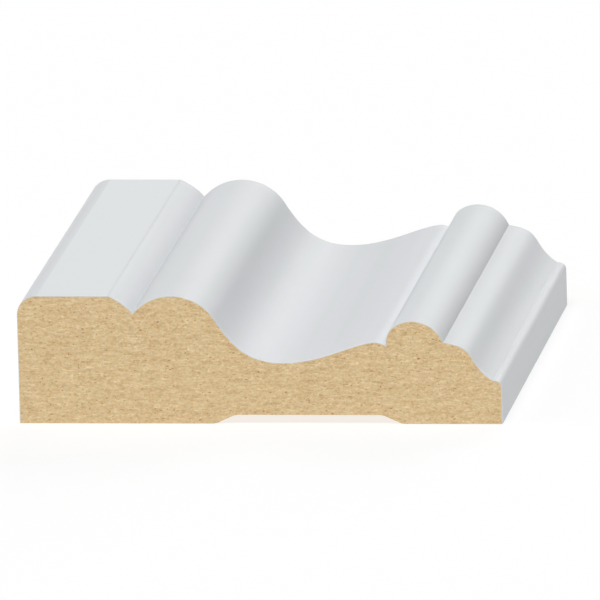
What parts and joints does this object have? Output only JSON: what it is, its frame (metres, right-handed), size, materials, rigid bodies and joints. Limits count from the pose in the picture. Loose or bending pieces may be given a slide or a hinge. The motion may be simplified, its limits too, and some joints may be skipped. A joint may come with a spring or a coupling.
{
  "type": "casing moulding",
  "caption": "Length of primed fibreboard door or window casing with a flat band, quirk, torus, broad ogee, bead and small cyma on its face, a relieved back and square sawn ends.",
  "frame": {"origin": "middle of the back, on the plane that the casing lies on", "axes": "+X across the casing from the thick outer edge to the thin inner edge, +Y along its length from the near end to the far end, +Z out of the wall through the moulded face"},
  "size_m": [0.0888, 0.1016, 0.0238],
  "materials": {
    "primer": "satin-matt sprayed primer, cool off-white, on fibreboard",
    "fibreboard": "bare medium density fibreboard, sawn at the ends and sanded on the back"
  },
  "bodies": {
    "root": {"casing_moulding": "primer"}
  },
  "joints": []
}
